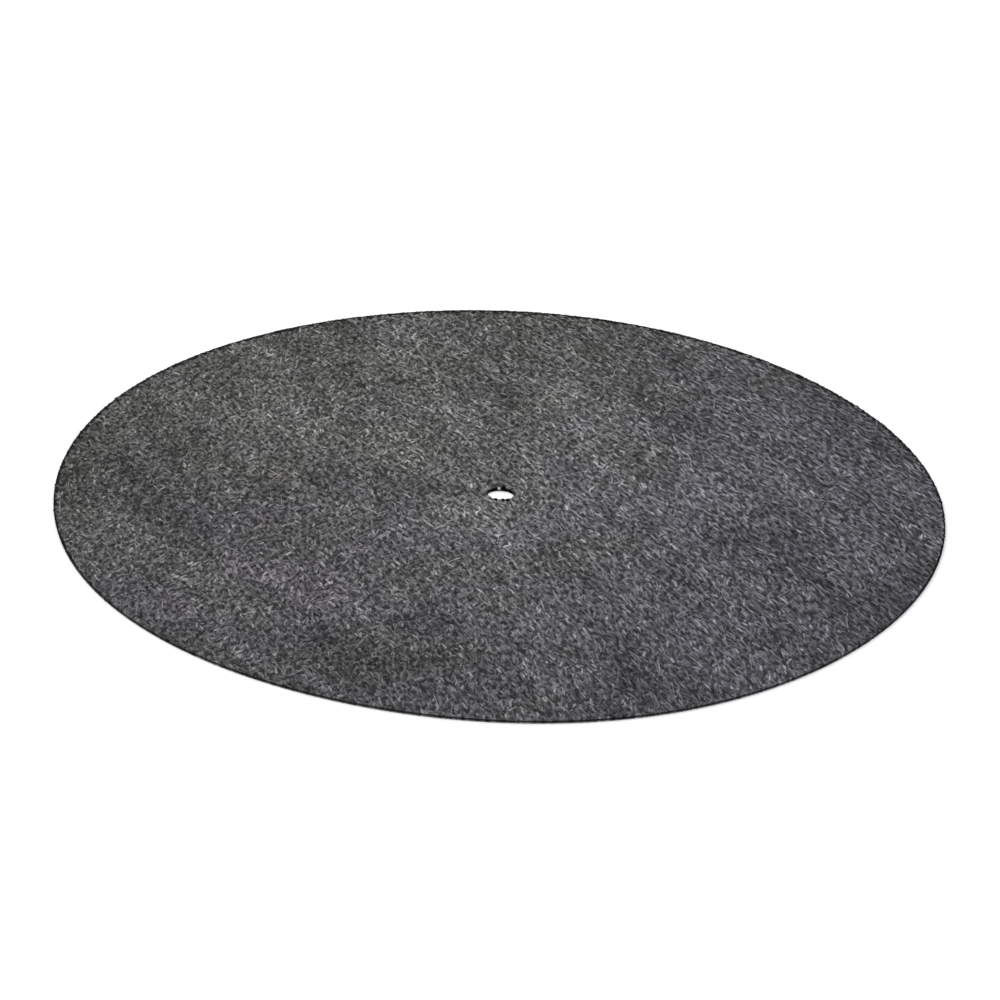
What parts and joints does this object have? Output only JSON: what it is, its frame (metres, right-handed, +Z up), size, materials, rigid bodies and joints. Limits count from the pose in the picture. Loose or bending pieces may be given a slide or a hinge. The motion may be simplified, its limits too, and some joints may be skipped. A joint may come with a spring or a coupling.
{
  "type": "felt turntable mat",
  "caption": "Thin round felt mat with a spindle hole at its centre, laid on a record player's platter to cushion and grip the record.",
  "frame": {"origin": "centre of the mat's underside, on the axis of the spindle hole", "axes": "+Z up along the spindle's axis, from the underside to the face that carries the record; +X to the right and +Y away from the viewer of the picture"},
  "size_m": [0.295, 0.295, 0.0013],
  "materials": {
    "felt": "matt pressed felt, dark grey, with mixed light and black fibres"
  },
  "bodies": {
    "root": {"felt_mat": "felt"}
  },
  "joints": []
}
